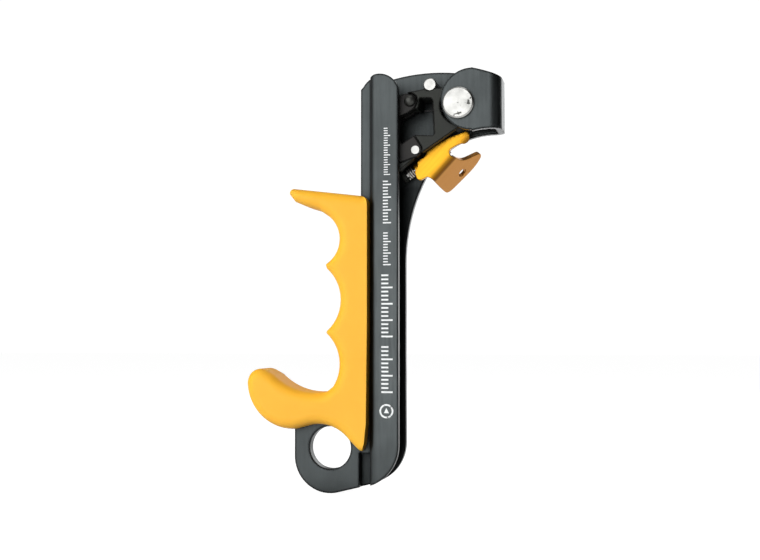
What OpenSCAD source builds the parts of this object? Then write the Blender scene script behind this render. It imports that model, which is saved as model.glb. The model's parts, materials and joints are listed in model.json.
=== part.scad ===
// Handled rope clamp for the right hand: an aluminium profile with a rope channel, a moulded
// grip beside it, and a toothed cam on a swinging arm that a gold catch lever guards.
// The origin is the centre of the eye at the foot, on the middle plane of the frame.
// +X points from the grip to the rope channel, +Z up the rope, and the front faces -Y.

/* [Frame] */
// Depth of the profile from its front face to its back face
frame_depth = 20; // [19.6:0.1:21]
// Thickness of the profile's walls
wall = 3; // [2.8:0.1:3]
// Left edge of the rope channel's web
web_x = 15.6; // [15.4:0.1:15.8]
// Left edge of the shoulders beside the grip
shoulder_x = 20.4; // [20.3:0.1:20.8]
// Open right edge of the rope channel
mouth_x = 34.6; // [34.2:0.1:34.8]
// Thickness of the foot plate round the eye
fin_t = 6; // [5.6:0.1:6.2]
// Diameter of the eye
eye_d = 20.2; // [19:0.1:20.4]

/* [Head] */
// Right face of the fold that carries the axle's front end
head_x = 82.9; // [82.6:0.1:83.4]
// Outer radius of the fold's two corners
fold_r = 5; // [4.5:0.1:5.2]
// Radius of the front tab's round end
tab_r = 14.4; // [14:0.1:14.4]
// Radius of the arc over the top of the head
crown_r = 89.3; // [89:0.1:89.6]

/* [Cam] */
// Distance of the cam axle from the eye across the rope
axle_x = 63.2; // [63:0.1:63.4]
// Height of the cam axle above the eye
axle_z = 160.9; // [160.7:0.1:161.1]
// Diameter of the axle's shank
axle_d = 8; // [7.6:0.1:8]
// Diameter of the axle's front head
axle_head_d = 14.7; // [14:0.1:15]
// Pitch of the teeth on the cam's shoe
tooth_pitch = 2.6; // [2.4:0.1:3]
// Height of a tooth
tooth_h = 1.3; // [1:0.1:1.4]

/* [Lever] */
// Angle of the catch lever's hinge line above the horizontal
hinge_angle = 30.4; // [30.2:0.1:30.6]
// Angle of the crease in the lever above the horizontal
crease_angle = 47; // [46.8:0.1:47.2]
// Thickness of the lever's sheet
lever_t = 2.2; // [2:0.1:2.2]
// Angle by which the thumb flange is bent back
flange_bend = 70; // [68:1:72]
// Width of the thumb flange from the crease to its free edge
flange_w = 18.9; // [18.6:0.1:19]

/* [Grip] */
// Thickness of the moulded grip, front to back
grip_t = 24; // [23:0.5:25]
// Radius of the two lower finger hollows
finger_r = 19.5; // [19.4:0.1:19.6]

/* [Hidden] */
$fn = 64;

front = -frame_depth / 2;
back = frame_depth / 2;
inner_front = front + wall;
inner_back = back - wall;
gap = 0.1;

// Channel: the shoulders' outer radius, the web's half depth, the channel floor and its corners
shoulder_r = 4;
web_half = 5.5;
floor_x = web_x + 5.6;
floor_r = 3;
// Bar: the centre and radius of its round top, the height of its cut left corner, and the big arc
// at its foot
bar_top = [25.3, 167];
bar_top_r = 9.7;
bar_corner_z = 170.4;
foot_r = 19.8;
foot_c = [mouth_x - foot_r, 2.3];
// Foot plate: the arc round the eye and its left edge
fin_c = [-0.3, -4.2];
fin_r = 17.2;
fin_right = 14.3;
fin_top = 13;
// Tongue that carries the grip
tongue_x = 9.5;
tongue_top = 112;
rivet_z = [30, 96];
rivet_x = 12.4;
// Groove at the foot, beside the bar
groove_top = -2;
groove_floor = 1;
// Head: the centre of the crown arc, the sweep up the neck and the arc under the head
crown_c = [48, 90.5];
neck_r = 90;
neck_z = 88;
neck_end = 128.2;
under_r = 37;
tab_c = [69.3, 162.7];
axle = [axle_x, axle_z];
// Stop pin over the arm
stop_c = [48.8, 171.5];
stop_r = 3.2;

// Cam arm
arm_front = inner_front + 0.55;
arm_back = inner_back - 0.55;
hub_r = 9;
bush_r = 5.5;
arm_top_z = 169.2;
upper_pin_c = [39.5, 164];
lower_pin_c = [42.1, 140.4];
spring_room_r = 9.4;
spring_room_back = -1.6;
spring_front = -5.2;
washer_t = 0.5;
// Half widths of the shoe and of the arm's ends inside it, and the circle that its teeth follow
shoe_half = 5.8;
tongue_half = 2.4;
tooth_c = [61.2, 156.9];
tooth_r = 37.2;

// Lever: a point on the hinge line, its depth, its pin and knuckle, the foot of the crease, the heights
// of the plate's upper edge over the hinge line, and the cord hole along and away from the crease
hinge_c = [37.9, 130.8];
hinge_y = 3.4;
lever_pin_r = 1.25;
knuckle_r = 2.6;
knuckle_from = 2.9;
knuckle_to = 18;
pin_from = -4.4;
pin_to = 22.2;
lug_w = 2.4;
crease_c = [48.8, 128.1];
crease_w = 13.4;
plate_front = -1.5;
plate_top = 4.1;
plate_low_top = 2.3;
cord_hole_r = 2.1;
hole_s = 11.3;
hole_w = 14.2;

function along(angle, distance) = [cos(angle) * distance, sin(angle) * distance];
function arc(centre, radius, from, to, steps = 12) =
    [for (i = [0 : steps]) centre + along(from + (to - from) * i / steps, radius)];
// Foot of the line that touches two circles on the side that lies to the right of the way from a to b
function touch_angle(a, ra, b, rb) =
    atan2(b[1] - a[1], b[0] - a[0]) - acos((ra - rb) / norm(b - a));

// A flat piece drawn in the front view, between two depths
module slab(y0, y1) {
    translate([0, y1, 0]) rotate([90, 0, 0]) linear_extrude(y1 - y0) children();
}

// A round pin along Y through a point of the front view
module peg(centre, radius, y0, y1) {
    translate([centre[0], y1, centre[1]]) rotate([90, 0, 0]) cylinder(r = radius, h = y1 - y0);
}

// Axes of the lever's hinge: X up the hinge line, Z towards the arm
module on_hinge() {
    translate([hinge_c[0], hinge_y, hinge_c[1]]) rotate([0, -hinge_angle, 0]) children();
}

// A rod along the hinge line
module hinge_rod(radius, from, to) {
    on_hinge() translate([from, 0, 0]) rotate([0, 90, 0]) cylinder(r = radius, h = to - from);
}

// A round wire along a path that never runs along the given axis
module wire(path, radius, axis, sides = 8) {
    last = len(path) - 1;
    function way(i) = path[min(i + 1, last)] - path[max(i - 1, 0)];
    function unit(v) = v / norm(v);
    rings = [for (i = [0 : last])
        let (t = unit(way(i)), n = unit(cross(t, axis)), b = cross(n, t))
        for (turn = [0 : 360 / sides : 359]) path[i] + radius * (cos(turn) * n + sin(turn) * b)];
    walls = [for (i = [0 : last - 1]) for (s = [0 : sides - 1])
        let (next = (s + 1) % sides)
        [i * sides + s, i * sides + next, (i + 1) * sides + next, (i + 1) * sides + s]];
    near_end = [for (s = [sides - 1 : -1 : 0]) s];
    far_end = [for (s = [0 : sides - 1]) last * sides + s];
    polyhedron(rings, concat(walls, [near_end, far_end]), convexity = 6);
}

// ---------------------------------------------------------------- frame

// Cross-section of the whole profile, seen from above
module profile() {
    difference() {
        union() {
            translate([web_x, -web_half]) square([8, 2 * web_half]);
            translate([shoulder_x + shoulder_r, front])
                square([mouth_x - shoulder_x - shoulder_r, frame_depth]);
            translate([shoulder_x, front + shoulder_r]) square([shoulder_r, frame_depth - 2 * shoulder_r]);
            for (y = [front + shoulder_r, back - shoulder_r])
                translate([shoulder_x + shoulder_r, y]) circle(shoulder_r);
        }
        translate([floor_x + floor_r, -inner_back]) square([40, 2 * inner_back]);
        translate([floor_x, floor_r - inner_back]) square([40, 2 * (inner_back - floor_r)]);
        for (y = [floor_r - inner_back, inner_back - floor_r])
            translate([floor_x + floor_r, y]) circle(floor_r);
    }
    translate([shoulder_x + shoulder_r, inner_back])
        square([head_x - shoulder_x - shoulder_r - fold_r, wall]);
    difference() {
        union() {
            translate([tab_c[0] - tab_r - 1, front])
                square([head_x - fold_r - tab_c[0] + tab_r + 1, frame_depth]);
            translate([head_x - fold_r, front + fold_r]) square([fold_r, frame_depth - 2 * fold_r]);
            for (y = [front + fold_r, back - fold_r])
                translate([head_x - fold_r, y]) circle(fold_r);
        }
        translate([tab_c[0] - tab_r - 2, inner_front])
            square([head_x - fold_r - tab_c[0] + tab_r + 2, inner_back - inner_front]);
        translate([head_x - fold_r - 1, front + fold_r])
            square([1 + fold_r - wall, frame_depth - 2 * fold_r]);
        for (y = [front + fold_r, back - fold_r])
            translate([head_x - fold_r, y]) circle(fold_r - wall);
    }
}

// Foot of the bar and of the eye plate: one line touches both arcs
touch = touch_angle(fin_c, fin_r, foot_c, foot_r);
fin_touch = fin_c + along(touch, fin_r);
foot_touch = foot_c + along(touch, foot_r);

// Front view of the rope channel
module bar_face() {
    translate(bar_top) circle(bar_top_r, $fn = 96);
    polygon([bar_top, [web_x, bar_top[1]], [web_x, bar_corner_z], bar_top + along(121, bar_top_r)]);
    translate([web_x, foot_c[1]]) square([mouth_x - web_x, bar_top[1] - foot_c[1]]);
    intersection() {
        translate(foot_c) circle(foot_r, $fn = 128);
        translate([foot_touch[0], -30]) square([60, 40]);
    }
    polygon([[web_x, fin_touch[1] + (web_x - fin_touch[0]) * tan(touch + 90)],
        foot_touch, [foot_touch[0], 10], [web_x, 10]]);
}

// What is cut away under the head and beside the neck
module under_head() {
    neck_c = [mouth_x + neck_r, neck_z];
    meet = [neck_c[0] - sqrt(neck_r * neck_r - pow(neck_end - neck_z, 2)), neck_end];
    under_c = meet + (neck_c - meet) * under_r / neck_r;
    intersection() {
        translate(neck_c) circle(neck_r, $fn = 256);
        translate([30, 60]) square([80, neck_end - 60]);
    }
    intersection() {
        translate(under_c) circle(under_r, $fn = 160);
        translate([30, neck_end - 1]) square([under_c[0] - 30, 40]);
    }
    translate([under_c[0] - 1, neck_end - 1]) square([30, under_c[1] + under_r - neck_end + 1]);
    translate([mouth_x, 60]) square([80, neck_z - 60]);
}

module crown() {
    translate(crown_c) circle(crown_r, $fn = 256);
}

// Front view of the head's back plate
module head_face() {
    difference() {
        intersection() {
            crown();
            translate([bar_top[0], neck_z - 10]) square([head_x + 5 - bar_top[0], 110]);
        }
        under_head();
    }
}

// Front view of the fold and its front tab
module tab_face() {
    difference() {
        intersection() {
            crown();
            union() {
                translate(tab_c) circle(tab_r, $fn = 128);
                translate([tab_c[0], tab_c[1] - 20]) square([head_x + 5 - tab_c[0], 40]);
            }
        }
        under_head();
    }
}

// Front view of the eye plate with the tongue that stands inside the grip
module fin_face() {
    translate(fin_c) circle(fin_r, $fn = 128);
    translate([fin_c[0] - fin_r, fin_c[1]]) square([web_x + 1 - fin_c[0] + fin_r, fin_top - fin_c[1]]);
    polygon([fin_touch, [web_x + 1, fin_touch[1] + (web_x + 1 - fin_touch[0]) * tan(touch + 90)],
        [web_x + 1, 0], fin_c]);
    translate([tongue_x, 0]) square([web_x + 1 - tongue_x, tongue_top]);
}

module frame() {
    color("#3c4043") difference() {
        union() {
            intersection() {
                translate([0, 0, -30]) linear_extrude(230) profile();
                slab(front - 1, inner_back + 1) union() {
                    bar_face();
                    tab_face();
                }
            }
            intersection() {
                translate([0, 0, -30]) linear_extrude(230) profile();
                slab(inner_back, back + 1) union() {
                    bar_face();
                    head_face();
                }
            }
            slab(-fin_t / 2, fin_t / 2) fin_face();
        }
        peg([0, 0], eye_d / 2, -10, 10);
        for (side = [-1, 1])
            translate([0, side * (fin_t / 2 - 0.4), 0]) rotate([-90 * side, 0, 0])
                cylinder(r1 = eye_d / 2, r2 = eye_d / 2 + 1, h = 1);
        // Groove beside the bar, from the end of the web's front strip down
        translate([fin_right, front, -30])
            cube([shoulder_x - fin_right, groove_floor - front, groove_top + 30]);
        peg(axle, axle_d / 2 + 0.02, front - 1, back + 1);
        peg(stop_c, 2, 0, back + 1);
        for (z = rivet_z)
            peg([rivet_x, z], 1.6, -5, 5);
    }
}

// ---------------------------------------------------------------- grip

hook_c = [-17.4, 31.4];
hook_r = 22.5;
hook_tip_c = [-33.5, 31.2];
hook_tip_r = 6.2;
scoop_c = [-6, 55.9];
scoop_r = 29.7;
lower_hollow = [-13.7, 39.8];
middle_hollow = [-13.25, 70.15];
upper_hollow = [-8.1, 99];
upper_r = 13.8;
horn_c = [-17, 121.5];
horn_r = 2.1;
grip_right = 20.1;

// Outline of the grip in the front view, from the toe round the hook, the fingers and the horn
grip_outline = concat(
    [[18.6, 3], [17.6, 0.3], [16.6, -0.8], [15.6, -0.6]],
    arc([-4.2, -7.2], 18.7, 38, 100, 10),
    arc(hook_c, hook_r, 275, 178, 18),
    arc(hook_tip_c, hook_tip_r, 165, 62, 8),
    arc(scoop_c, scoop_r, 226, 274, 10),
    arc([-3.6, 33.4], 7.2, 285, 318, 4),
    arc(lower_hollow, finger_r, 327, 409, 14),
    arc(middle_hollow, finger_r, 311, 409, 14),
    arc(upper_hollow, upper_r, 300, 420, 14),
    [[-4, 112.9], [-11.6, 115.3], [-16.2, 117.3]],
    arc(horn_c, horn_r, 200, 84, 6),
    [[14, 119.6]],
    arc([15.2, 114.5], 4.9, 80, 8, 5),
    [[grip_right, 98], [grip_right, 60], [19.6, 12]]);

module grip() {
    color("#f0a81c") difference() {
        slab(-grip_t / 2, grip_t / 2) polygon(grip_outline);
        // Room for the eye plate, the tongue with its core, and the channel's web
        translate([-19, -fin_t / 2 - gap, -25])
            cube([40, fin_t + 2 * gap, fin_top + gap + 25]);
        translate([tongue_x - 2, -5, fin_top])
            cube([12, 10, tongue_top + 1.2 - fin_top]);
        translate([web_x - gap, -web_half - gap, -5])
            cube([10, 2 * web_half + 2 * gap, 130]);
    }
}

module grip_core() {
    color("#4a4a46") difference() {
        translate([tongue_x - 1.9, -4.9, fin_top + 0.2])
            cube([web_x - tongue_x + 1.8, 9.8, tongue_top + 0.8 - fin_top]);
        translate([tongue_x - gap / 2, -fin_t / 2 - gap / 2, fin_top - 1])
            cube([10, fin_t + gap, tongue_top + gap - fin_top + 1]);
        for (z = rivet_z)
            peg([rivet_x, z], 1.6, -6, 6);
    }
}

module grip_rivets() {
    color("silver") for (z = rivet_z)
        peg([rivet_x, z], 1.55, -4.9, 4.9);
}

// ---------------------------------------------------------------- pins of the frame

module cam_axle() {
    color("gainsboro") {
        peg(axle, axle_d / 2, front, back + 1.2);
        translate([axle_x, front, axle_z]) rotate([90, 0, 0])
            rotate_extrude($fn = 96) polygon([[0, 0], [axle_head_d / 2, 0], [axle_head_d / 2, 1.1],
                [axle_head_d / 2 - 0.7, 1.7], [0, 1.9]]);
        translate([axle_x, back + 0.8, axle_z]) rotate([-90, 0, 0])
            cylinder(r1 = 5.6, r2 = 4.6, h = 1.4, $fn = 96);
    }
}

module axle_ring() {
    color("silver") difference() {
        peg(axle, 7.6, back, back + 0.8);
        peg(axle, axle_d / 2 + 0.02, back - 1, back + 2);
    }
}

module thrust_washers() {
    color("silver") for (y = [inner_front, inner_back - washer_t])
        difference() {
            peg(axle, 5.4, y, y + washer_t);
            peg(axle, axle_d / 2 + 0.05, y - 1, y + 2);
        }
}

module stop_pin() {
    color("gainsboro") {
        peg(stop_c, stop_r, -4, inner_back);
        peg(stop_c, 2, inner_back - 1, back + 0.9);
        translate([stop_c[0], -4, stop_c[1]]) rotate([90, 0, 0])
            cylinder(r1 = stop_r, r2 = stop_r - 0.5, h = 0.5);
    }
}

// ---------------------------------------------------------------- cam

// Front view of the arm without its window
module arm_face() {
    lower = hinge_angle;
    translate(axle) circle(hub_r, $fn = 96);
    translate(upper_pin_c) circle(4);
    translate(lower_pin_c) circle(2.9);
    polygon([[upper_pin_c[0] - 1, upper_pin_c[1] + 3.9], [44, arm_top_z - 0.6], [47, arm_top_z],
        [55, arm_top_z], [60, 169], axle, axle + along(lower - 90, hub_r - 0.4),
        [lower_pin_c[0] + 1, lower_pin_c[1] - 2.7], lower_pin_c, [41.2, 147.6],
        [41.2, 160], [upper_pin_c[0], upper_pin_c[1] - 4]]);
}

// The opening inside the arm, which the shoe closes on its left
module arm_window(right) {
    polygon(concat([[30, 148.2], [41.4, 147.4]],
        arc([right - 1.3, 148.2], 1.3, 270, 355, 4),
        arc([right - 2.6, 162.9], 1.9, 0, 90, 5),
        [[44.2, 164.9], [43.4, 160], [30, 160]]));
}

// One of the two lugs that hold the lever's pin behind its plate
module lug(from, top) {
    on_hinge() translate([from, 0, 0]) rotate([90, 0, 90]) linear_extrude(lug_w)
        polygon([[-2.3, -2.4], [-2.3, 0.5], [top / 2 - 3.3, top], [2.9, top], [2.9, 0], [2.2, -2.4]]);
}

module cam_arm() {
    color("#46483f") difference() {
        union() {
            difference() {
                slab(arm_front, arm_back) difference() {
                    arm_face();
                    arm_window(51.3);
                    translate(stop_c) circle(stop_r + 0.15);
                }
                // Rebate that the lever's upper edge tilts into
                on_hinge() translate([3, -5.9, -2]) cube([26, 5.9, 8.2]);
                // The shoe's cheeks lie on both sides of the arm's two thinner ends
                slab(arm_front - 1, -tongue_half) cheek_room();
                slab(tongue_half, arm_back + 1) cheek_room();
            }
            // The back half of the arm stands further into the window
            slab(0, arm_back) difference() {
                intersection() {
                    arm_face();
                    translate([49, 147.5]) square([4, 17]);
                }
                arm_window(49.8);
            }
            // Foot of the arm, inside the shoe, and the strip that shows below the shoe
            slab(-tongue_half, tongue_half) polygon([[44.6, 142.8], [42, 144.5], [35.5, 138],
                [34.6, 135.2], [33.2, 134], [32.4, 132.2], [34.2, 130.8], [35.6, 133.2], [38.6, 135.1],
                [41, 137.2], [43.4, 138.6], [44.6, 140.6]]);
            slab(arm_front, -tongue_half + 0.4) polygon([[42.6, 137], [35.4, 134.6], [32.8, 133.8],
                [32.8, 131], [34.6, 131], [38.2, 134], [41.2, 136.2]]);
            lug(pin_from, 4);
            lug(knuckle_to + 0.3, 7);
        }
        peg(axle, bush_r, arm_front - 1, arm_back + 1);
        // Room for the return spring's coil round the hub, and the hole for its leg
        difference() {
            peg(axle, spring_room_r, arm_front - 1, spring_room_back);
            peg(axle, bush_r + 0.6, arm_front - 2, spring_room_back + 1);
        }
        translate([44, spring_front, 158.7]) rotate([0, 90, 0]) cylinder(r = 0.9, h = 14);
        peg(upper_pin_c, 2, arm_front - 1, arm_back + 1);
        peg(lower_pin_c, 1.6, arm_front - 1, arm_back + 1);
        hinge_rod(lever_pin_r, pin_from - 1, pin_to + 1);
    }
}

// Where the shoe overlaps the arm's two ends
module cheek_room() {
    polygon([[30, 134.3], [35.4, 134.5], [43.4, 137.1], [45.6, 140], [45.1, 142.1], [41.6, 147.7],
        [30, 149]]);
    polygon([[30, 157], [39, 157.9], [42, 160.2], [43.4, 163.1], [42.8, 165.9], [40.6, 167.7],
        [37, 167.9], [37, 170], [30, 170]]);
}

module cam_bush() {
    color("#8d6b3a") difference() {
        peg(axle, bush_r, arm_front, arm_back);
        peg(axle, axle_d / 2 + 0.04, arm_front - 1, arm_back + 1);
    }
}

// Front view of the shoe: a toothed back, with a finger to each of its pins
module shoe_face() {
    steps = floor(2 * PI * tooth_r * 44 / 360 / tooth_pitch);
    turn = 44 / steps;
    teeth = [for (i = [0 : steps - 1]) each [tooth_c + along(173 + i * turn, tooth_r),
        tooth_c + along(173 + (i + 0.25) * turn, tooth_r + tooth_h)]];
    polygon(concat(teeth, [[33.4, 134.9], [35.3, 134.9], [43.1, 137.4], [45.2, 140], [44.8, 141.9],
        [41.4, 147.3], [35.4, 143.6], [33, 147], [32.6, 152], [33.6, 156.4], [38.6, 158.4],
        [41.6, 160.6], [42.9, 163.2], [42.4, 165.6], [40.4, 167.2], [37.4, 167.4], [30, 165.2]]));
}

module cam_shoe() {
    color("#35302b") difference() {
        slab(-shoe_half, shoe_half) shoe_face();
        slab(-tongue_half - gap, tongue_half + gap) polygon([[34.2, 130], [50, 130], [50, 172], [34.2, 172]]);
        // Grooves that part the rows of teeth into points
        for (y = [-2.9, 0, 2.9])
            translate([tooth_c[0], y, tooth_c[1]]) rotate([90, 0, 0]) rotate_extrude($fn = 180)
                polygon([[tooth_r, 0], [tooth_r + 4, 1.9], [tooth_r + 4, -1.9]]);
        peg(upper_pin_c, 2, -10, 10);
        peg(lower_pin_c, 1.6, -10, 10);
    }
}

module shoe_upper_pin() {
    color("#1c1c1a") {
        peg(upper_pin_c, 2, -shoe_half, shoe_half);
        intersection() {
            translate([upper_pin_c[0], 0.6 - shoe_half, upper_pin_c[1]]) sphere(3);
            peg(upper_pin_c, 3, -shoe_half - 4, -shoe_half);
        }
    }
}

module shoe_lower_pin() {
    color("gainsboro") {
        peg(lower_pin_c, 1.6, -shoe_half, shoe_half);
        peg(lower_pin_c, 2, -shoe_half - 0.6, -shoe_half);
        peg(lower_pin_c, 2, shoe_half, shoe_half + 0.5);
    }
}

module cam_spring() {
    coil_r = 7.2;
    wire_r = 0.6;
    steps = 46;
    first = 208;
    step = 18;
    rise = 1.25;
    coil = [for (i = [0 : steps]) [axle_x + coil_r * cos(first - i * step),
        spring_front + rise * i * step / 360, axle_z + coil_r * sin(first - i * step)]];
    spring_back = spring_front + rise * steps * step / 360;
    color("silver") wire(concat([[46.4, spring_front, 158.7], [54.4, spring_front, 158.7]], coil,
        [[axle_x + 10, spring_back, axle_z + 9]]), wire_r, [0, 1, 0]);
}

// ---------------------------------------------------------------- lever

// Front view of the lever's plate, from the hinge to the crease
module lever_face() {
    top = hinge_c + along(hinge_angle + 90, plate_top);
    low_top = hinge_c + along(hinge_angle + 90, plate_low_top);
    polygon(concat([top + along(hinge_angle, 25.4), top + along(hinge_angle, 12.5)],
        [low_top + along(hinge_angle, 11.5), low_top + along(hinge_angle, 5)],
        [[42.2, 134.3], [42, 132.8], [41, 131.4], [40.8, 129.5], [41.7, 127.5], [43.3, 126.8], [45, 127.2]],
        [[46.4, 128.2], crease_c, crease_c + along(crease_angle, crease_w)],
        arc([59.6, 139.6], 2, 225, 120, 6),
        [[61.2, 142.8], [62.9, 143.3], [64.7, 142.7], [66, 143.1], [66.9, 144.5], [66.9, 147],
            [65.4, 148.8]]));
}

// The thumb flange, drawn flat: X along the crease and Y away from it
module flange_face() {
    polygon([[0, 0], [crease_w, 0], [14.4, 1], [15.1, 5], [16.3, 7.8], [18.6, 10], [21.4, 12], [23.4, 13.8],
        [23.9, 15.5], [22.9, 17.3], [21, 18.2], [15, flange_w], [2.8, 17.8], [0.1, 17.1], [-1, 15.6],
        [-1.1, 12.4], [-0.6, 2]]);
}

module lever() {
    color("#e0a020") difference() {
        union() {
            slab(plate_front, plate_front + lever_t) lever_face();
            hinge_rod(knuckle_r, knuckle_from, knuckle_to);
            on_hinge() translate([knuckle_from, plate_front + lever_t - hinge_y - 0.2, -1.9])
                cube([knuckle_to - knuckle_from, 2.4, 3.8]);
            // The bend, and the flange that runs back from it
            translate([crease_c[0], plate_front + lever_t, crease_c[1]]) rotate([0, -crease_angle, 0]) {
                intersection() {
                    rotate([0, 90, 0]) cylinder(r = lever_t, h = crease_w);
                    translate([0, -lever_t, -lever_t]) cube([crease_w, lever_t, lever_t + 0.3]);
                }
                rotate([flange_bend - 90, 0, 0]) mirror([0, 0, 1]) difference() {
                    linear_extrude(lever_t) flange_face();
                    translate([hole_s, hole_w, -1]) cylinder(r = cord_hole_r, h = lever_t + 2);
                }
            }
        }
        hinge_rod(lever_pin_r + 0.05, pin_from - 1, pin_to + 1);
    }
}

module lever_pin() {
    color("silver") hinge_rod(lever_pin_r, pin_from, pin_to);
}

module lever_pin_clips() {
    color("silver") difference() {
        hinge_rod(2.2, pin_to - 1, pin_to - 0.5);
        hinge_rod(lever_pin_r, pin_from, pin_to + 1);
    }
}

module lever_spring() {
    turns = 3;
    coil_r = 2.3;
    steps = 18;
    u = [cos(hinge_angle), 0, sin(hinge_angle)];
    v = [sin(hinge_angle), 0, -cos(hinge_angle)];
    start = [hinge_c[0], hinge_y, hinge_c[1]];
    color("silver") wire([for (i = [0 : steps * turns]) let (a = 360 * i / steps)
        start + (-1.4 + 3.7 * i / (steps * turns)) * u + coil_r * (cos(a) * v + [0, sin(a), 0])], 0.45, u);
}

frame();
grip();
grip_core();
grip_rivets();
cam_axle();
axle_ring();
thrust_washers();
stop_pin();
cam_arm();
cam_bush();
cam_shoe();
shoe_upper_pin();
shoe_lower_pin();
cam_spring();
lever();
lever_pin();
lever_pin_clips();
lever_spring();
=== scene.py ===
import json
import math

import bmesh
import bpy
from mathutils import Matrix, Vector
from mathutils.geometry import delaunay_2d_cdt


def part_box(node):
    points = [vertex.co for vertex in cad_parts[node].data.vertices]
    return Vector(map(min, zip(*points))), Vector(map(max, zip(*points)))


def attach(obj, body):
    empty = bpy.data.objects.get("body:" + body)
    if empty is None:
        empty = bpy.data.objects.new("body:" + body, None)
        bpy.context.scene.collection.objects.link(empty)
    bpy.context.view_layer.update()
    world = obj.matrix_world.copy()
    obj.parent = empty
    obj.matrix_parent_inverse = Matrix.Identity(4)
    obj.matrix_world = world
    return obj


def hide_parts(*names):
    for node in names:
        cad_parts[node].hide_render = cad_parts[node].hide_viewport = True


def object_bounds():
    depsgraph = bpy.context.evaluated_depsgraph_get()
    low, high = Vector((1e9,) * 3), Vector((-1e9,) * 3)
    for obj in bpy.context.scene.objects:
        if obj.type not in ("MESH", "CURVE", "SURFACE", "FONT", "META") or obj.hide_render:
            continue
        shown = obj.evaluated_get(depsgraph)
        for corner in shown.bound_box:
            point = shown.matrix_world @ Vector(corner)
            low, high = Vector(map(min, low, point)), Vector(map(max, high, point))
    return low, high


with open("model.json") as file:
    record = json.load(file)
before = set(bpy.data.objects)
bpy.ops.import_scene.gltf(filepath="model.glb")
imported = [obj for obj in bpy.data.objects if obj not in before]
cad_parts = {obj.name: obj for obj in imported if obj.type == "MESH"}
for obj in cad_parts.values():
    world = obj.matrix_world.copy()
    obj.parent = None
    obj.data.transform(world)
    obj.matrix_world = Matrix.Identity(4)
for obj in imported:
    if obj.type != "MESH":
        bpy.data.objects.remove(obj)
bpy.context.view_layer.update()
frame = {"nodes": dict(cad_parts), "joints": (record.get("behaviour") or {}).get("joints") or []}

MM = 0.001
nodes = frame["nodes"]
joints = {joint["name"]: joint for joint in frame["joints"]}
axle_centre = Vector(joints["cam_swing"]["pos_m"])
hinge_centre = Vector(joints["lever_tilt"]["pos_m"])
# The lever's hinge line, from the shoe's end up to the horn's
hinge_way = -Vector(joints["lever_tilt"]["axis"])


# ---------------------------------------------------------------- camera, lights and floor

# The camera stands in front, to the right of the part's middle and a little below it
CAMERA_PLACE = Vector((140.3, -500.0, 52.9)) * MM
CAMERA_TARGET = Vector((24.8, -5.0, 79.4)) * MM
CAMERA_LENS = 51.1
SENSOR_WIDTH = 36
NEAR_CLIP = 10 * MM

MIDDLE = Vector((30, 0, 80)) * MM
FOOT = Vector((30, 0, 20)) * MM
# Each lamp's place and target, its width and height, and its power in watts
LAMPS = {
    "key": (Vector((-0.44, -0.82, 0.22)), MIDDLE, (1.35, 1.5), 15.5),
    "back": (Vector((0.3, 0.9, 0.35)), MIDDLE, (0.9, 0.9), 4.5),
    "top": (Vector((0.1, -0.2, 1.0)), MIDDLE, (0.6, 0.6), 1.2),
    "low": (Vector((-0.07, -0.5, 0.03)), FOOT, (0.2, 0.09), 0.19),
}

# The studio's brightness as the camera sees it, as it lights the part, and as it lights it from the right
STUDIO_SEEN = 1.05
STUDIO_LIT = 0.28
STUDIO_RIGHT = 0.02
# How far right a direction points where the studio starts to darken, and where it is darkest
RIGHT_START = 0.1
RIGHT_END = 0.5

FLOOR_SIZE = 8
FLOOR_DROP = 0.2 * MM
FLOOR_GREY = 0.3
FLOOR_GLOW = 0.93


def look_at(obj, target):
    obj.rotation_euler = (target - obj.location).to_track_quat("-Z", "Y").to_euler()


def make_camera():
    data = bpy.data.cameras.new("camera")
    data.lens = CAMERA_LENS
    data.sensor_width = SENSOR_WIDTH
    data.clip_start = NEAR_CLIP
    camera = bpy.data.objects.new("camera", data)
    bpy.context.scene.collection.objects.link(camera)
    camera.location = CAMERA_PLACE
    look_at(camera, CAMERA_TARGET)
    bpy.context.scene.camera = camera


def area_light(name, place, target, size, power):
    data = bpy.data.lights.new(name, "AREA")
    data.shape = "RECTANGLE"
    data.size, data.size_y = size
    data.energy = power
    light = bpy.data.objects.new(name, data)
    bpy.context.scene.collection.objects.link(light)
    light.location = place
    look_at(light, target)


def make_studio():
    """A studio that looks white, and lights the part a little, less so from its dark right side."""
    world = bpy.data.worlds.new("studio")
    bpy.context.scene.world = world
    world.use_nodes = True
    tree = world.node_tree
    background = tree.nodes["Background"]
    background.inputs["Color"].default_value = (1, 1, 1, 1)
    way = tree.nodes.new("ShaderNodeTexCoord")
    parts = tree.nodes.new("ShaderNodeSeparateXYZ")
    tree.links.new(way.outputs["Generated"], parts.inputs[0])
    lit = tree.nodes.new("ShaderNodeMapRange")
    lit.inputs["From Min"].default_value = RIGHT_START
    lit.inputs["From Max"].default_value = RIGHT_END
    lit.inputs["To Min"].default_value = STUDIO_LIT
    lit.inputs["To Max"].default_value = STUDIO_RIGHT
    tree.links.new(parts.outputs["X"], lit.inputs["Value"])
    path = tree.nodes.new("ShaderNodeLightPath")
    strength = tree.nodes.new("ShaderNodeMapRange")
    strength.inputs["To Max"].default_value = STUDIO_SEEN
    tree.links.new(lit.outputs["Result"], strength.inputs["To Min"])
    tree.links.new(path.outputs["Is Camera Ray"], strength.inputs["Value"])
    tree.links.new(strength.outputs["Result"], background.inputs["Strength"])


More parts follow.
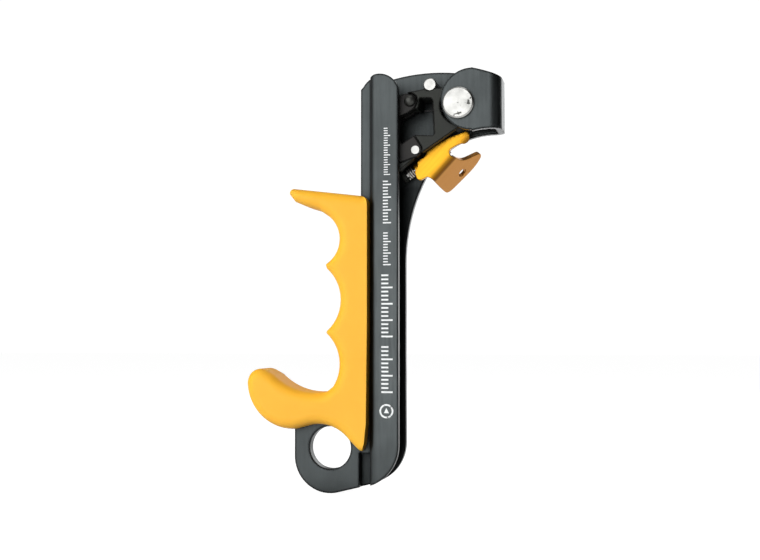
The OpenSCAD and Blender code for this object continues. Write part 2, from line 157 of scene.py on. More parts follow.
def make_floor():
    """A pale floor that glows, so that it shows white without lighting the part from below."""
    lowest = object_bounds()[0][2]
    bpy.ops.mesh.primitive_plane_add(size=FLOOR_SIZE, location=(0, 0, lowest - FLOOR_DROP))
    floor = bpy.context.object
    floor.name = "floor"
    material = bpy.data.materials.new("floor")
    material.use_nodes = True
    shader = material.node_tree.nodes["Principled BSDF"]
    shader.inputs["Base Color"].default_value = (FLOOR_GREY, FLOOR_GREY, FLOOR_GREY, 1)
    shader.inputs["Roughness"].default_value = 1.0
    shader.inputs["Specular IOR Level"].default_value = 0.0
    shader.inputs["Emission Color"].default_value = (1, 1, 1, 1)
    shader.inputs["Emission Strength"].default_value = FLOOR_GLOW
    floor.data.materials.append(material)
    floor.visible_diffuse = False


def make_stage():
    scene = bpy.context.scene
    scene.view_settings.view_transform = "Standard"
    scene.view_settings.look = "None"
    make_studio()
    for name, (place, target, size, power) in LAMPS.items():
        area_light(name, place, target, size, power)
    make_floor()


# ---------------------------------------------------------------- material helpers

# Rays for each edge or recess test, and how open to its surroundings a deep and an open place is for the
# painted recess shade
EDGE_SAMPLES = 6
RECESS_DEEP = 0.25
RECESS_OPEN = 0.8


class Nodes:
    """A material's node tree with short calls for what the materials below repeat."""

    def __init__(self, name):
        self.material = bpy.data.materials.new(name)
        self.material.use_nodes = True
        self.tree = self.material.node_tree
        self.shader = self.tree.nodes["Principled BSDF"]
        self.place = self.add("ShaderNodeTexCoord").outputs["Object"]

    def add(self, kind, **values):
        node = self.tree.nodes.new(kind)
        for name, value in values.items():
            if hasattr(node, name):
                setattr(node, name, value)
            else:
                node.inputs[name.replace("_", " ")].default_value = value
        return node

    def join(self, source, target):
        self.tree.links.new(source, target)

    def set(self, **values):
        """Gives the shader's sockets plain values."""
        for name, value in values.items():
            self.shader.inputs[name.replace("_", " ")].default_value = value

    def feed(self, **sources):
        """Joins other nodes' outputs to the shader's sockets."""
        for name, source in sources.items():
            self.join(source, self.shader.inputs[name.replace("_", " ")])

    def math(self, operation, a, b):
        node = self.add("ShaderNodeMath", operation=operation)
        for socket, value in zip(node.inputs, (a, b)):
            if isinstance(value, (int, float)):
                socket.default_value = value
            else:
                self.join(value, socket)
        return node.outputs[0]

    def vector_math(self, operation, a, b=(0, 0, 0)):
        node = self.add("ShaderNodeVectorMath", operation=operation)
        for socket, value in zip(node.inputs, (a, b)):
            if isinstance(value, bpy.types.NodeSocket):
                self.join(value, socket)
            else:
                socket.default_value = value
        return node.outputs

    def stretched(self, scale, rotation=(0, 0, 0), place=None):
        node = self.add("ShaderNodeMapping")
        node.inputs["Scale"].default_value = scale
        node.inputs["Rotation"].default_value = rotation
        self.join(place or self.place, node.inputs["Vector"])
        return node.outputs[0]

    def noise(self, scale, detail=4, roughness=0.55, place=None):
        node = self.add("ShaderNodeTexNoise", Scale=scale, Detail=detail, Roughness=roughness)
        self.join(place or self.place, node.inputs["Vector"])
        return node.outputs["Fac"]

    def steps(self, value, low, high, start=0.0, end=1.0):
        node = self.add("ShaderNodeMapRange", clamp=True)
        node.inputs["From Min"].default_value = low
        node.inputs["From Max"].default_value = high
        node.inputs["To Min"].default_value = start
        node.inputs["To Max"].default_value = end
        self.join(value, node.inputs["Value"])
        return node.outputs["Result"]

    def spread(self, noise, start=0.0, end=1.0):
        """Maps the range in which a noise mostly lies onto start to end."""
        return self.steps(noise, 0.3, 0.7, start, end)

    def along(self, way, start=(0, 0, 0)):
        """How far a point lies from a start along a direction, in the object's own metres."""
        offset = self.vector_math("SUBTRACT", self.place, start)
        return self.vector_math("DOT_PRODUCT", offset[0], way)["Value"]

    def mix(self, factor, a, b):
        node = self.add("ShaderNodeMix", data_type="RGBA")
        sockets = [s for s in node.inputs if s.enabled]
        for socket, value in zip(sockets, (factor, a, b)):
            if isinstance(value, (int, float)):
                socket.default_value = value
            elif isinstance(value, tuple):
                socket.default_value = (*value, 1)
            else:
                self.join(value, socket)
        return [s for s in node.outputs if s.enabled][0]

    def bump(self, height, strength, distance, normal=None):
        node = self.add("ShaderNodeBump", Strength=strength, Distance=distance)
        self.join(height, node.inputs["Height"])
        if normal is not None:
            self.join(normal, node.inputs["Normal"])
        return node.outputs["Normal"]

    def edge(self, radius, low, high):
        """1 along sharp edges and 0 elsewhere, from how far a rounded normal leans from the true one,
        and the rounded normal itself."""
        bevel = self.add("ShaderNodeBevel", samples=EDGE_SAMPLES, Radius=radius)
        geometry = self.add("ShaderNodeNewGeometry")
        lean = self.vector_math("DOT_PRODUCT", bevel.outputs["Normal"], geometry.outputs["True Normal"])
        return self.steps(lean["Value"], low, high, 1, 0), bevel.outputs["Normal"]

    def recess_shade(self, depth, least):
        """1 in the open, falling to a least value in recesses, for painted shade there."""
        node = self.add("ShaderNodeAmbientOcclusion", samples=EDGE_SAMPLES, Distance=depth)
        return self.steps(node.outputs["AO"], RECESS_DEEP, RECESS_OPEN, least, 1)


# ---------------------------------------------------------------- materials

# Widths over which edges round off: the frame's, the coated pieces', the bright and gold pieces', and
# the width over which a coating is rubbed through
FRAME_EDGE = 1.7 * MM
COATED_EDGE = 1.1 * MM
FINE_EDGE = 0.3 * MM
SCUFF_EDGE = 0.35 * MM
# How closely a rounded normal agrees with the true one where a painted dark edge line is full, and where it
# ends
LINE_FULL = 0.93
LINE_END = 0.985
# How far round a place the painted recess shade looks, on the frame and on coated pieces
FRAME_RECESS = 14 * MM
COATED_RECESS = 8 * MM
# The frame's rear wall: the depth of its inner face, and the heights between which the neck's shadow ends
REAR_INNER = 7.1 * MM
NECK_LOW = 124 * MM
NECK_HIGH = 131 * MM

SLATE = (0.05, 0.056, 0.057)
# Painted shade: the next two blacks darken recesses and rounded edges
PAINTED_SHADE_BLACK = (0.001, 0.001, 0.001)
EDGE_LINE_SHADE = (0.0008, 0.0008, 0.0008)
ARM_BLACK = (0.0098, 0.0122, 0.0085)
SHOE_BLACK = (0.0085, 0.0068, 0.0058)
DOME_BLACK = (0.045, 0.046, 0.042)
WIRE_BLACK = (0.02, 0.02, 0.02)
BARE_STEEL = (0.34, 0.33, 0.31)
BRIGHT_STEEL = (0.42, 0.42, 0.405)
DULL_STEEL = (0.36, 0.36, 0.35)
# Painted shade: darker steel along edges; then the colour of the dark spots
STEEL_EDGE_SHADE = (0.3, 0.3, 0.3)
DARK_SPOT = (0.03, 0.03, 0.028)
WIRE_STEEL = (0.62, 0.61, 0.58)
DEEP_GOLD = (0.47, 0.215, 0.008)
BRIGHT_GOLD = (0.62, 0.31, 0.016)
# Painted shade: the flange's shaded tan, the bend's brown band and the darker gold of the edges
FLANGE_SHADE_GOLD = (0.5, 0.225, 0.05)
BEND_SHADE_BROWN = (0.17, 0.062, 0.003)
GOLD_EDGE_SHADE = (0.25, 0.1, 0.008)
DEEP_YELLOW = (0.95, 0.46, 0.016)
BRIGHT_YELLOW = (0.97, 0.5, 0.024)
SPECK_BROWN = (0.62, 0.28, 0.03)
WASHER_CREAM = (0.5, 0.49, 0.45)
CORE_BLACK = (0.05, 0.05, 0.048)
BRONZE = (0.5, 0.33, 0.14)
PORE_BROWN = (0.22, 0.13, 0.05)
INK_WHITE = (0.83, 0.85, 0.85)
WORN_INK = (0.3, 0.32, 0.32)


def scaled(colour, factor, lift=0.0):
    return tuple(c * factor + lift for c in colour)


def slate_anodised():
    """The frame's anodised aluminium: a satin dyed metal with fine upright streaks, with painted shade in
    its recesses, a painted shadow on the rear wall's inner face, which lies in the channel's shadow, and
    painted dark shade along its rounded edges."""
    n = Nodes("slate_anodised")
    fine = n.noise(900, 3, place=n.stretched((1, 1, 0.06)))
    cloud = n.spread(n.noise(60, 3), 0.88, 1.12)
    depth = n.along((0, 1, 0))
    # Painted shadow: the rear wall's inner face below the neck is darkened in its colour
    rear = n.steps(depth, REAR_INNER, REAR_INNER + 0.4 * MM, 1, 0)
    inside = n.math("MULTIPLY", n.steps(depth, 0, 3 * MM), rear)
    below = n.steps(n.along((0, 0, 1)), NECK_LOW, NECK_HIGH, 1, 0)
    shadow = n.steps(n.math("MULTIPLY", inside, below), 0, 1, 1, 0.3)
    # Painted shade: the colour darkens in recesses and in the rear wall's painted shadow
    shade = n.math("MULTIPLY", n.math("MULTIPLY", cloud, n.recess_shade(FRAME_RECESS, 0.25)), shadow)
    tint = n.add("ShaderNodeVectorMath", operation="SCALE")
    tint.inputs[0].default_value = SLATE
    n.join(shade, tint.inputs["Scale"])
    edge, rounded = n.edge(FRAME_EDGE, LINE_FULL, LINE_END)
    # Painted shade: a black line along the rounded edges stands for their dark reflections
    n.feed(Base_Color=n.mix(edge, tint.outputs[0], PAINTED_SHADE_BLACK),
           Roughness=n.spread(fine, 0.3, 0.44),
           Normal=n.bump(fine, 0.12, 0.02 * MM, rounded))
    n.set(Metallic=1.0)
    return n.material


def gold_sheet():
    """Gold anodised sheet: satin streaks along the crease, painted brown shade at the bend, a painted
    shaded tan on the flange, which faces away from the light, and painted shade along its edges.
    """
    n = Nodes("gold_anodised")
    streaks = n.stretched((0.05, 1, 1), place=n.stretched((1, 1, 1), (0, CREASE, 0)))
    fine = n.noise(1300, 3, place=streaks)
    broad = n.noise(330, 3, place=streaks)
    edge, rounded = n.edge(FINE_EDGE, 0.88, LINE_END)
    away = n.along((math.sin(CREASE), 0, -math.cos(CREASE)), CORNER * MM)
    round_bend = n.math("ADD", away, n.along((0, 1, 0), CORNER * MM))
    into_bend = n.steps(round_bend, -3.0 * MM, 1.0 * MM)
    out_of_bend = n.steps(round_bend, 2.8 * MM, 4.4 * MM, 1, 0)
    bend = n.math("MULTIPLY", n.math("MULTIPLY", into_bend, out_of_bend), 0.95)
    base = n.mix(n.steps(broad, 0.35, 0.65), DEEP_GOLD, BRIGHT_GOLD)
    # Painted shade: the flange, which faces away from the light, gets a shaded tan
    base = n.mix(n.steps(round_bend, 2.6 * MM, 4.6 * MM), base, FLANGE_SHADE_GOLD)
    # Painted shade: a brown band at the bend stands for its dark reflection
    base = n.mix(bend, base, BEND_SHADE_BROWN)
    # Painted shade: darker gold along the edges
    n.feed(Base_Color=n.mix(n.math("MULTIPLY", edge, 0.5), base, GOLD_EDGE_SHADE),
           Roughness=n.spread(fine, 0.3, 0.44),
           Normal=n.bump(fine, 0.15, 0.02 * MM, rounded))
    n.set(Metallic=0.85)
    return n.material


def coated_steel(name, colour, roughness, metallic, wear):
    """Matt coating over steel: fine orange peel, mottling, painted shade in recesses and along the edges,
    and bare metal rubbed through in places along the edges."""
    n = Nodes(name)
    mottle = n.noise(180, 5, 0.65)
    edge, rounded = n.edge(COATED_EDGE, LINE_FULL, LINE_END)
    rubbed = n.edge(SCUFF_EDGE, 0.86, 0.98)[0]
    scuffs = n.math("MULTIPLY", rubbed, n.steps(n.noise(420, 4, 0.7), 0.52, 0.66))
    base = n.mix(n.spread(mottle), scaled(colour, 0.7), scaled(colour, 1.25, 0.004))
    # Painted shade: the colour darkens to black in recesses
    base = n.mix(n.recess_shade(COATED_RECESS, 0.2), PAINTED_SHADE_BLACK, base)
    # Painted shade: a black line along the rounded edges stands for their dark reflections
    base = n.mix(edge, base, EDGE_LINE_SHADE)
    n.feed(Base_Color=n.mix(n.math("MULTIPLY", scuffs, wear), base, BARE_STEEL),
           Roughness=n.spread(mottle, roughness - 0.08, roughness + 0.08),
           Specular_IOR_Level=n.steps(edge, 0, 1, 0.28, 0.03),
           Normal=n.bump(n.noise(1400, 2), 0.25, 0.03 * MM, rounded))
    n.set(Metallic=metallic)
    return n.material


def turned_steel(name, centre, colour=BRIGHT_STEEL, roughness=0.3, ring_scale=9000, spot_darkness=0.0):
    """Bright turned steel: fine rings round an axis along Y through a point, with faint smudges, painted
    shade along its edges, and dark spots on its lower right side."""
    n = Nodes(name)
    offset = n.vector_math("SUBTRACT", n.place, centre)[0]
    flat = n.vector_math("MULTIPLY", offset, (1, 0, 1))[0]
    length = n.vector_math("LENGTH", flat)["Value"]
    rings = n.math("SINE", n.math("MULTIPLY", length, ring_scale), 0.0)
    smudge = n.noise(240, 4)
    edge, rounded = n.edge(FINE_EDGE, 0.9, 0.99)
    # Dark spots, on the lower right side only
    low_right = n.steps(n.along((0.8, 0, -0.6), centre), 1.2 * MM, 2.6 * MM)
    spots = n.math("MULTIPLY", n.steps(n.noise(330, 2), 0.55, 0.6), low_right)
    base = n.mix(n.steps(smudge, 0.35, 0.7), colour, scaled(colour, 0.82))
    base = n.mix(n.math("MULTIPLY", spots, spot_darkness), base, DARK_SPOT)
    # Painted shade: darker steel along the edges
    n.feed(Base_Color=n.mix(n.math("MULTIPLY", edge, 0.35), base, STEEL_EDGE_SHADE),
           Roughness=n.spread(smudge, roughness - 0.05, roughness + 0.12),
           Normal=n.bump(rings, 0.12, 0.01 * MM, rounded))
    n.set(Metallic=1.0)
    return n.material


def drawn_wire():
    """Spring steel: drawn wire with a faintly rough surface and darker oxide patches."""
    n = Nodes("spring_wire")
    patch = n.noise(500, 5, 0.7)
    n.feed(Base_Color=n.mix(n.steps(patch, 0.4, 0.7), WIRE_STEEL, BARE_STEEL),
           Roughness=n.spread(patch, 0.22, 0.42),
           Normal=n.bump(n.noise(2500, 3), 0.15, 0.02 * MM))
    n.set(Metallic=1.0)
    return n.material


def grip_rubber():
    """Moulded elastomer: even warm yellow with a faint mottle, a fine spark-eroded grain and soft sheen."""
    n = Nodes("grip_rubber")
    cloud = n.noise(35, 3)
    grain = n.noise(2600, 2)
    speck = n.steps(n.noise(900, 2), 0.70, 0.78)
    base = n.mix(n.spread(cloud), DEEP_YELLOW, BRIGHT_YELLOW)
    n.feed(Base_Color=n.mix(n.math("MULTIPLY", speck, 0.25), base, SPECK_BROWN),
           Roughness=n.spread(grain, 0.5, 0.66),
           Normal=n.bump(grain, 0.18, 0.04 * MM, n.bump(cloud, 0.1, 0.3 * MM)))
    n.set(Specular_IOR_Level=0.35, Subsurface_Weight=0.08, Subsurface_Scale=2 * MM)
    return n.material


def dull_plastic(name, colour):
    """Moulded engineering plastic with a fine grain and flow marks."""
    n = Nodes(name)
    flow = n.noise(90, 4, place=n.stretched((1, 1, 0.15)))
    n.feed(Base_Color=n.mix(n.spread(flow), colour, scaled(colour, 0.7)),
           Normal=n.bump(n.noise(1800, 2), 0.2, 0.03 * MM))
    n.set(Roughness=0.55)
    return n.material


def sintered_bronze():
    """Sintered bronze: a porous, oil-darkened bearing metal."""
    n = Nodes("bush_bronze")
    pores = n.noise(2400, 3)
    n.feed(Base_Color=n.mix(n.steps(pores, 0.4, 0.62), BRONZE, PORE_BROWN),
           Normal=n.bump(pores, 0.3, 0.03 * MM))
    n.set(Metallic=1.0, Roughness=0.42)
    return n.material


def white_print():
    """Screen-printed white ink, slightly worn through."""
    n = Nodes("white_print")
    worn = n.steps(n.noise(1500, 4, 0.7), 0.62, 0.72)
    n.feed(Base_Color=n.mix(n.math("MULTIPLY", worn, 0.55), INK_WHITE, WORN_INK))
    n.set(Roughness=0.5)
    return n.material


def paint_node(name, material):
    """Gives a CAD node one material."""
    mesh = nodes[name].data
    mesh.materials.clear()
    mesh.materials.append(material)


# ---------------------------------------------------------------- mesh helpers

# Points nearer than this many metres are one point
WELD = 1e-7


def turn_angles(sides):
    """Even angles round a circle."""
    return [2 * math.pi * k / sides for k in range(sides)]


def add_piece(name, bm, material, body, replaced=(), smooth_angle=40):
    """Turns a bmesh in metres into a piece that rides on a body."""
    bmesh.ops.remove_doubles(bm, verts=bm.verts, dist=WELD)
    bmesh.ops.recalc_face_normals(bm, faces=bm.faces)
    mesh = bpy.data.meshes.new(name)
    bm.to_mesh(mesh)
    bm.free()
    piece = bpy.data.objects.new(name, mesh)
    bpy.context.scene.collection.objects.link(piece)
    mesh.materials.append(material)
    for face in mesh.polygons:
        face.use_smooth = True
    mesh.set_sharp_from_angle(angle=math.radians(smooth_angle))
    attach(piece, body)
    if replaced:
        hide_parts(*replaced)


def join_rings(bm, near, far):
    """Faces between two rings of the same number of points."""
    sides = len(near)
    for k in range(sides):
        bm.faces.new((near[k], near[(k + 1) % sides], far[(k + 1) % sides], far[k]))


def add_tube(bm, path, radius, sides):
    """Sweeps a round wire along a list of points and closes both ends with small domes."""
    rings = []
    side = (path[1] - path[0]).normalized().orthogonal()
    last = len(path) - 1
    for i, point in enumerate(path):
        way = (path[min(i + 1, last)] - path[max(i - 1, 0)]).normalized()
        side = (side - way * side.dot(way)).normalized()
        up = way.cross(side)
        sizes = {0: [0.45, 0.8, 1.0], last: [1.0, 0.8, 0.45]}.get(i, [1.0])
        for size in sizes:
            lean = math.sqrt(1 - size * size) * radius * (-1 if i == 0 else 1)
            rings.append([bm.verts.new(point + way * lean + radius * size
                                       * (math.cos(a) * side + math.sin(a) * up))
                          for a in turn_angles(sides)])
    for near, far in zip(rings, rings[1:]):
        join_rings(bm, near, far)
    bm.faces.new(rings[0][::-1])
    bm.faces.new(rings[-1])


def arc_points(centre, radius, start, end, steps):
    """Points on an arc in the front view, as (x, z) in millimetres, between two angles in degrees."""
    angles = [math.radians(start + (end - start) * k / steps) for k in range(steps + 1)]
    return [(centre[0] + radius * math.cos(a), centre[1] + radius * math.sin(a)) for a in angles]


def resample(outline, step):
    """Even points along a closed outline that keep its own corners."""
    points = []
    for a, b in zip(outline, outline[1:] + outline[:1]):
        a, b = Vector(a), Vector(b)
        parts = max(1, round((b - a).length / step))
        points += [a.lerp(b, k / parts) for k in range(parts)]
    return points


class Outline:
    """Distances and inside tests for closed loops of points, holes included."""

    def __init__(self, loops):
        self.edges = [pair for loop in loops for pair in zip(loop, loop[1:] + loop[:1])]

    def distance(self, p, edges=None):
        best = math.inf
        for a, b in edges or self.edges:
            d = b - a
            t = max(0, min(1, (p - a).dot(d) / d.length_squared))
            best = min(best, (p - a - d * t).length_squared)
        return math.sqrt(best)

    def inside(self, p):
        hit = False
        for a, b in self.edges:
            if (a.y > p.y) != (b.y > p.y) and p.x < a.x + (p.y - a.y) * (b.x - a.x) / (b.y - a.y):
                hit = not hit
        return hit


# Rings next to an edge that keep all their points; further in, every second point is enough
FULL_RINGS = 3
# A ring's point is dropped where another edge lies nearer than this share of the ring's depth
OWN_DEPTH = 0.96
# Spacing of the middle's points, in outline steps
GRID_STEPS = 2.2
# Rows of faces in the wall between a slab's front and back
WALL_LAYERS = 6


def ring_points(shape, loop, is_hole, radius, rings):
    """Points in rings along a loop, closer together where the rounding is steep."""
    area = sum(a.x * b.y - b.x * a.y for a, b in zip(loop, loop[1:] + loop[:1]))
    turn = (1 if area > 0 else -1) * (-1 if is_hole else 1)
    points = []
    for ring in range(1, rings + 1):
        depth = radius * (1 - math.cos(math.pi / 2 * ring / rings))
        for i, p in enumerate(loop):
            way = (loop[(i + 1) % len(loop)] - loop[i - 1]).normalized()
            q = p + Vector((-way.y, way.x)) * turn * depth
            if (ring + i) % 2 and ring > FULL_RINGS:
                continue
            if shape.inside(q) and shape.distance(q) > OWN_DEPTH * depth:
                points.append(q)
    return points


def middle_points(shape, loop, radius, step):
    """Points on a staggered grid over the flat middle."""
    low = Vector((min(p.x for p in loop), min(p.y for p in loop)))
    high = Vector((max(p.x for p in loop), max(p.y for p in loop)))
    grid = GRID_STEPS * step
    points = []
    for column in range(int((high.x - low.x) / grid) + 1):
        for row in range(int((high.y - low.y) / grid) + 1):
            q = low + Vector((column + 0.5 * (row % 2), row)) * grid
            if shape.inside(q) and shape.distance(q) > max(radius * 1.05, 0.4 * step):
                points.append(q)
    return points


def rounded_slab(outline, half, radius, step, rings, holes=(), square=None):
    """A closed body over an outline, with holes, whose front and back edges are rounded by a radius.
    Edges whose two ends both pass the square test stay square."""
    loops = [resample(loop, step) for loop in [outline, *holes]]
    shape = Outline(loops)
    rounded = [pair for pair in shape.edges if not (square and square(pair[0]) and square(pair[1]))]
    points = [p for loop in loops for p in loop]
    for number, loop in enumerate(loops):
        points += ring_points(shape, loop, number > 0, radius, rings)
    points += middle_points(shape, loops[0], radius, step)
    edges = []
    start = 0
    for loop in loops:
        edges += [(start + i, start + (i + 1) % len(loop)) for i in range(len(loop))]
        start += len(loop)
    places, _, faces, origins, _, _ = delaunay_2d_cdt(points, edges, [], 0, 1e-8)
    home = {k: i for i in range(len(places)) for k in origins[i]}
    heights = []
    for p in places:
        depth = min(radius, shape.distance(p, rounded))
        heights.append(half - radius + math.sqrt(max(0, radius * radius - (radius - depth) ** 2)))
    bm = bmesh.new()
    front = [bm.verts.new((p.x, -h, p.y)) for p, h in zip(places, heights)]
    back = [bm.verts.new((p.x, h, p.y)) for p, h in zip(places, heights)]
    for face in faces:
        if shape.inside(sum((places[i] for i in face), Vector((0, 0))) / len(face)):
            bm.faces.new([front[i] for i in face])
            bm.faces.new([back[i] for i in reversed(face)])
    first = 0
    for loop in loops:
        ring = [home[first + k] for k in range(len(loop))]
        first += len(loop)
        walls = [[front[i] for i in ring]]
        for layer in range(1, WALL_LAYERS):
            share = 1 - 2 * layer / WALL_LAYERS
            walls.append([bm.verts.new((places[i].x, -heights[i] * share, places[i].y)) for i in ring])
        walls.append([back[i] for i in ring])
        for near, far in zip(walls, walls[1:]):
            join_rings(bm, near, far)
    bmesh.ops.delete(bm, geom=[v for v in bm.verts if not v.link_faces], context="VERTS")
    return bm


# ---------------------------------------------------------------- grip

GRIP_ROUND = 5.2 * MM
GRIP_RINGS = 7
GRIP_STEP = 0.9 * MM
GRIP_SMOOTH = 70
# The grip stays square beside the bar: how far its square side reaches in from the right, between the
# heights of its two corners and beyond them
SIDE_REACH = 0.7 * MM
CORNER_REACH = 4 * MM
LOW_CORNER = 14 * MM
HIGH_CORNER = 108 * MM


def front_outline(node):
    """The closed outline of a CAD node's front face, as (x, z) points in order."""
    mesh = nodes[node].data
    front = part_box(node)[0][1]
    places = [vertex.co for vertex in mesh.vertices]
    count = {}
    for face in mesh.polygons:
        if all(abs(places[i][1] - front) < 1e-6 for i in face.vertices):
            ring = [(round(places[i][0], 6), round(places[i][2], 6)) for i in face.vertices]
            for pair in zip(ring, ring[1:] + ring[:1]):
                count[pair] = count.get(pair, 0) + 1
    follow = {a: b for (a, b) in count if (b, a) not in count}
    start = next(iter(follow))
    outline = [start]
    while follow[outline[-1]] != start:
        outline.append(follow[outline[-1]])
    return outline


def make_grip():
    right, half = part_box("grip")[1][:2]

    def beside_bar(p):
        reach = SIDE_REACH if LOW_CORNER < p.y < HIGH_CORNER else CORNER_REACH
        return p.x > right - reach

    outline = front_outline("grip")
    bm = rounded_slab(outline, half, GRIP_ROUND, GRIP_STEP, GRIP_RINGS, square=beside_bar)
    add_piece("moulded_grip", bm, grip_rubber(), "frame_body", ["grip"], GRIP_SMOOTH)


# ---------------------------------------------------------------- printed marks on the bar

# How far the marks stand out of the bar's face, and as far again they reach into it
MARK_PROUD = 0.05 * MM
# Middle of the marks across the bar, in millimetres like the other sizes below
MARK_MIDDLE = 29.3
# Groups of plain graduation ticks: their lowest and highest place up the bar, width and pitch
TICK_GROUPS = [(26.6, 48.2, 5.4, 1.9), (52.4, 82.6, 5.4, 1.9), (86, 101, 3.6, 1.35),
               (105.6, 126, 3.9, 1.5), (128.4, 150.4, 3.0, 1.15)]
LONG_EVERY = 4
SHORT_TICK = 0.62
TICK_SHARE = 0.42
# A plain ring with a triangle in it: its centre, its outer and inner radius, and the triangle's corners
RING_CENTRE = (29.0, 18.2)
RING_OUTER = 3.3
RING_INNER = 2.5
RING_SIDES = 48
TRIANGLE = [(0, 1.5), (-1.2, -0.9), (1.2, -0.9)]


def add_mark(bm, outline):
    """A thin closed plate on the bar's face, from an outline of (x, z) points in millimetres."""
    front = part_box("frame")[0][1] - MARK_PROUD
    near = [bm.verts.new((x * MM, front, z * MM)) for x, z in outline]
    far = [bm.verts.new((x * MM, front + 2 * MARK_PROUD, z * MM)) for x, z in outline]
    bm.faces.new(near)
    bm.faces.new(far[::-1])
    for k in range(len(outline)):
        bm.faces.new((near[k], far[k], far[(k + 1) % len(outline)], near[(k + 1) % len(outline)]))


def make_marks():
    bm = bmesh.new()
    for low, high, width, pitch in TICK_GROUPS:
        left = MARK_MIDDLE - width / 2
        for k in range(int((high - low) / pitch) + 1):
            right = left + width * (1 if k % LONG_EVERY == 0 else SHORT_TICK)
            z = low + k * pitch
            top = z + TICK_SHARE * pitch
            add_mark(bm, [(left, z), (right, z), (right, top), (left, top)])
    x, z = RING_CENTRE
    for k in range(RING_SIDES):
        a, b = (2 * math.pi * i / RING_SIDES for i in (k, k + 1))
        corners = [(RING_OUTER, a), (RING_OUTER, b), (RING_INNER, b), (RING_INNER, a)]
        add_mark(bm, [(x + r * math.cos(t), z + r * math.sin(t)) for r, t in corners])
    add_mark(bm, [(x + across, z + up) for across, up in TRIANGLE])
    add_piece("bar_marks", bm, white_print(), "frame_body")


# ---------------------------------------------------------------- catch lever

# Thickness of the sheet, and its bend: the outer radius, the turn and the slope of the crease
SHEET = 2.2 * MM
BEND_OUTER = 2.6 * MM
BEND_TURN = math.radians(70)
CREASE = math.radians(47)
SHEET_ROUND = 0.3 * MM
SHEET_STEP = 0.45 * MM
SHEET_RINGS = 3
SHEET_SMOOTH = 35
# Where the lever's front plane and the outside of its flange would meet, in millimetres
CORNER = Vector((49.9, -1.5, 127.1))
# The plate's outline from its top edge round the horn and the notch, as (x, z) in millimetres
PLATE = ([(46.45, 138.35), (46.5, 140.4), (57.4, 146.75), (61.8, 147.85)]
         + arc_points((65, 147.0), 2.15, 85, -10, 7)
         + arc_points((65.5, 145), 1.95, 0, -80, 5)
         + [(64.7, 142.8), (63.6, 143.2), (62.4, 143.2), (61.2, 142.8)]
         + arc_points((59.65, 139.6), 2.1, 120, 215, 8))
# The flange's outline along the corner and away from it, in millimetres
FLANGE = [(13.6, -1.2), (14.0, 0.6), (14.4, 2.4), (14.8, 4.6), (15.2, 6.8), (16.2, 9.1),
          (17.6, 10.7), (19.6, 12.3), (21.6, 13.8), (23.0, 14.9), (23.8, 16.2), (23.7, 17.5),
          (22.9, 18.7), (21.5, 19.4), (18.4, 20.3), (14.8, 20.5), (10, 20.1), (5.8, 19.7),
          (2.8, 19.3), (0.9, 18.9), (-0.4, 18.1), (-1.1, 16.9), (-1.2, 14), (-1.0, 8.3),
          (-0.6, 2.7), (-0.6, 0)]
# The plate's outline again, from the foot of the crease to the knuckle
PLATE_FOOT = ([(47.6, 128.1), (46.4, 128.2), (45.6, 127.6)]
              + arc_points((43.5, 128.8), 2.0, 310, 190, 8)
              + [(40.9, 130.2), (41, 131.4), (41.5, 132.3), (42.1, 132.9), (42.35, 133.8)]
              + [(42.2, 134.6), (41.9, 135.2), (42.35, 135.85)])
# The cord hole along the corner and away from it, and its radius
HOLE = Vector((11.3, 15.7)) * MM
HOLE_R = 2.1 * MM
# The knuckle's ends along the hinge line, its radius and its bore
KNUCKLE_FROM = 2.9 * MM
KNUCKLE_TO = 18 * MM
KNUCKLE_R = 2.6 * MM
KNUCKLE_BORE = 1.32 * MM
KNUCKLE_LIP = 0.25 * MM


def lever_point(along, away, depth):
    """A point of the bent sheet: along the corner, away from it, and behind the outer face, in metres."""
    s_way = Vector((math.cos(CREASE), 0, math.sin(CREASE)))
    out_way = Vector((math.sin(CREASE), 0, -math.cos(CREASE)))
    front_way = Vector((0, -1, 0))
    setback = BEND_OUTER * math.tan(BEND_TURN / 2)
    turn = min(max((away + setback) / (2 * setback), 0), 1) * BEND_TURN
    normal = math.cos(turn) * front_way + math.sin(turn) * out_way
    sheet_way = math.cos(turn) * out_way - math.sin(turn) * front_way
    centre = CORNER * MM + s_way * along - out_way * setback - front_way * BEND_OUTER
    place = centre + normal * BEND_OUTER
    if away > setback:
        place += sheet_way * (away - setback)
    if away < -setback:
        place += out_way * (away + setback)
    return place - normal * depth


def unbent(point):
    """A plate's point in the front view, in millimetres, as its place along the corner and away from it."""
    x = (point[0] - CORNER.x) * MM
    z = (point[1] - CORNER.z) * MM
    return (x * math.cos(CREASE) + z * math.sin(CREASE), x * math.sin(CREASE) - z * math.cos(CREASE))


def smooth_outline(points, rounds=2):
    """Cuts the corners of a closed outline, so that it runs in curves."""
    for _ in range(rounds):
        cut = []
        for a, b in zip(points, points[1:] + points[:1]):
            cut.append(tuple(0.75 * p + 0.25 * q for p, q in zip(a, b)))
            cut.append(tuple(0.25 * p + 0.75 * q for p, q in zip(a, b)))
        points = cut
    return points


def add_knuckle(bm, sides=40):
    """The lever's rolled knuckle: a tube with broken edges on the hinge line."""
    side = Vector((0, 1, 0))
    up = hinge_way.cross(side)
    outer, inner = KNUCKLE_R, KNUCKLE_BORE
    start, end, lip = KNUCKLE_FROM, KNUCKLE_TO, KNUCKLE_LIP
    section = [(start + lip, outer), (end - lip, outer), (end, outer - lip), (end, inner + lip),
               (end - lip, inner), (start + lip, inner), (start, inner + lip), (start, outer - lip)]
    rings = [[bm.verts.new(hinge_centre + hinge_way * s + r * (math.cos(a) * side + math.sin(a) * up))
              for a in turn_angles(sides)] for s, r in section]
    for near, far in zip(rings, rings[1:] + rings[:1]):
        join_rings(bm, near, far)


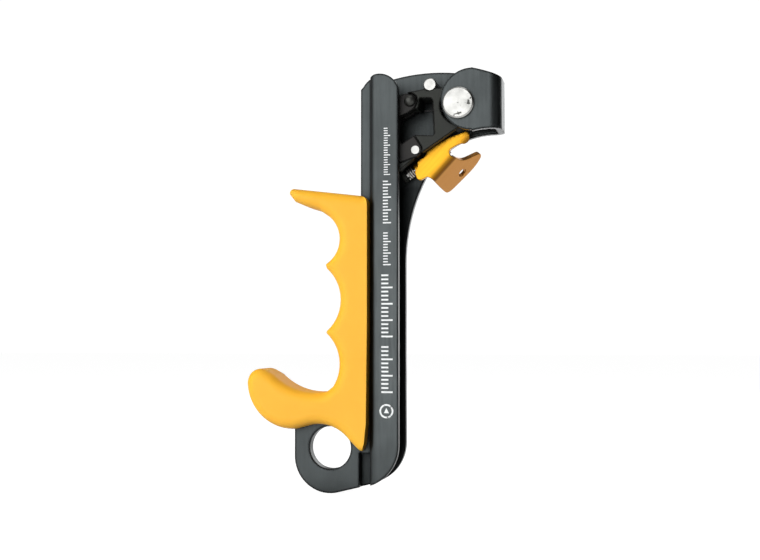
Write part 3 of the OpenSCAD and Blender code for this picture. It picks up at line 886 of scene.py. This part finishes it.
def make_lever():
    flange = [(s * MM, w * MM) for s, w in FLANGE]
    outline = [unbent(p) for p in PLATE] + flange + [unbent(p) for p in PLATE_FOOT]
    hole = [HOLE + HOLE_R * Vector((math.cos(a), math.sin(a))) for a in turn_angles(40)]
    bm = rounded_slab(smooth_outline(outline), SHEET / 2, SHEET_ROUND, SHEET_STEP, SHEET_RINGS, [hole])
    for vertex in bm.verts:
        s, depth, w = vertex.co
        vertex.co = lever_point(s, w, depth + SHEET / 2)
    add_knuckle(bm)
    add_piece("catch_lever", bm, gold_sheet(), "lever_body", ["lever"], SHEET_SMOOTH)


# ---------------------------------------------------------------- springs

# The lever's coil: where it starts along the hinge line, its length, turns, radius and wire radius
COIL_START = -1.5 * MM
COIL_LENGTH = 3.7 * MM
COIL_TURNS = 3.2
STEPS_PER_TURN = 28
COIL_R = 2.3 * MM
COIL_WIRE_R = 0.45 * MM
WIRE_SIDES = 12


def make_coil():
    across = Vector((hinge_way.z, 0, -hinge_way.x))
    behind = Vector((0, 1, 0))
    path = []
    for k in range(int(COIL_TURNS * STEPS_PER_TURN) + 1):
        angle = 2 * math.pi * k / STEPS_PER_TURN
        along = COIL_START + COIL_LENGTH * k / (COIL_TURNS * STEPS_PER_TURN)
        path.append(hinge_centre + hinge_way * along
                    + COIL_R * (math.cos(angle) * across + math.sin(angle) * behind))
    bm = bmesh.new()
    add_tube(bm, path, COIL_WIRE_R, WIRE_SIDES)
    add_piece("lever_coil_spring", bm, drawn_wire(), "cam_body", ["lever_spring"])


# ---------------------------------------------------------------- the other pieces' materials

# The coated pieces: material name, colour, roughness, how metallic, and wear
COATED = {
    "cam_arm": ("arm_coating", ARM_BLACK, 0.55, 0.0, 0.25),
    "cam_shoe": ("shoe_steel", SHOE_BLACK, 0.5, 0.1, 0.3),
    "shoe_upper_pin": ("black_dome", DOME_BLACK, 0.3, 0.5, 0.2),
    "cam_spring": ("blackened_wire", WIRE_BLACK, 0.4, 0.6, 0.3),
}


def paint_nodes():
    paint_node("frame", slate_anodised())
    for name, values in COATED.items():
        paint_node(name, coated_steel(*values))
    paint_node("cam_axle", turned_steel("axle_steel", axle_centre, ring_scale=5200, spot_darkness=0.9))
    for name in ("stop_pin", "shoe_lower_pin", "lever_pin"):
        low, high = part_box(name)
        paint_node(name, turned_steel(name + "_steel", (low + high) / 2))
    for name in ("axle_ring", "lever_pin_clips", "grip_rivets"):
        low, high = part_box(name)
        paint_node(name, turned_steel(name + "_steel", (low + high) / 2, DULL_STEEL, 0.34))
    paint_node("thrust_washers", dull_plastic("bearing_plastic", WASHER_CREAM))
    paint_node("grip_core", dull_plastic("core_plastic", CORE_BLACK))
    paint_node("cam_bush", sintered_bronze())


make_camera()
make_stage()
paint_nodes()
make_grip()
make_lever()
make_coil()
make_marks()
